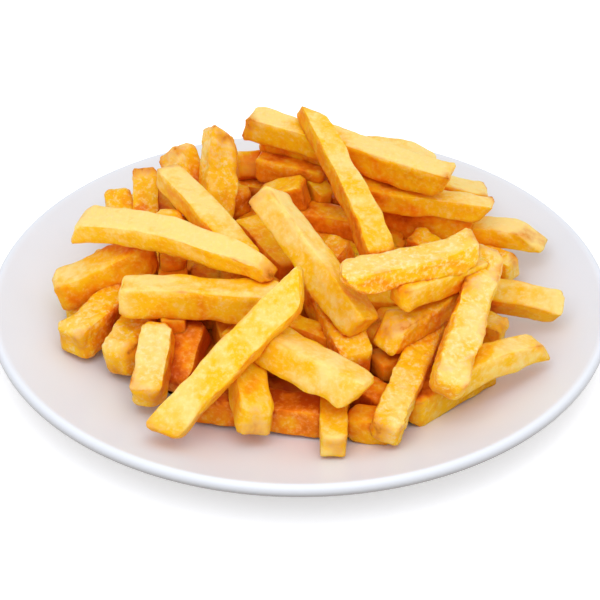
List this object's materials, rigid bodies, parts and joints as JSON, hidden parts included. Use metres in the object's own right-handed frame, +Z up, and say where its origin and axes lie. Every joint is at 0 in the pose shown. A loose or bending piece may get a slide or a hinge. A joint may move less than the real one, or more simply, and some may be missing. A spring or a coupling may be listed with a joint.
{
  "type": "french fries portion",
  "caption": "Heap of thick-cut golden french fries on a round white coupe plate, for table settings and food scenes.",
  "frame": {"origin": "on the table under the middle of the plate", "axes": "+Z up; -Y towards the diner; +X to the diner's right"},
  "size_m": [0.21, 0.21, 0.0686],
  "materials": {
    "plate": "glossy white glaze",
    "fries": "deep-fried potato, golden, with a thin film of oil"
  },
  "bodies": {
    "root": {"plate": "plate", "fries": "fries"}
  },
  "joints": []
}
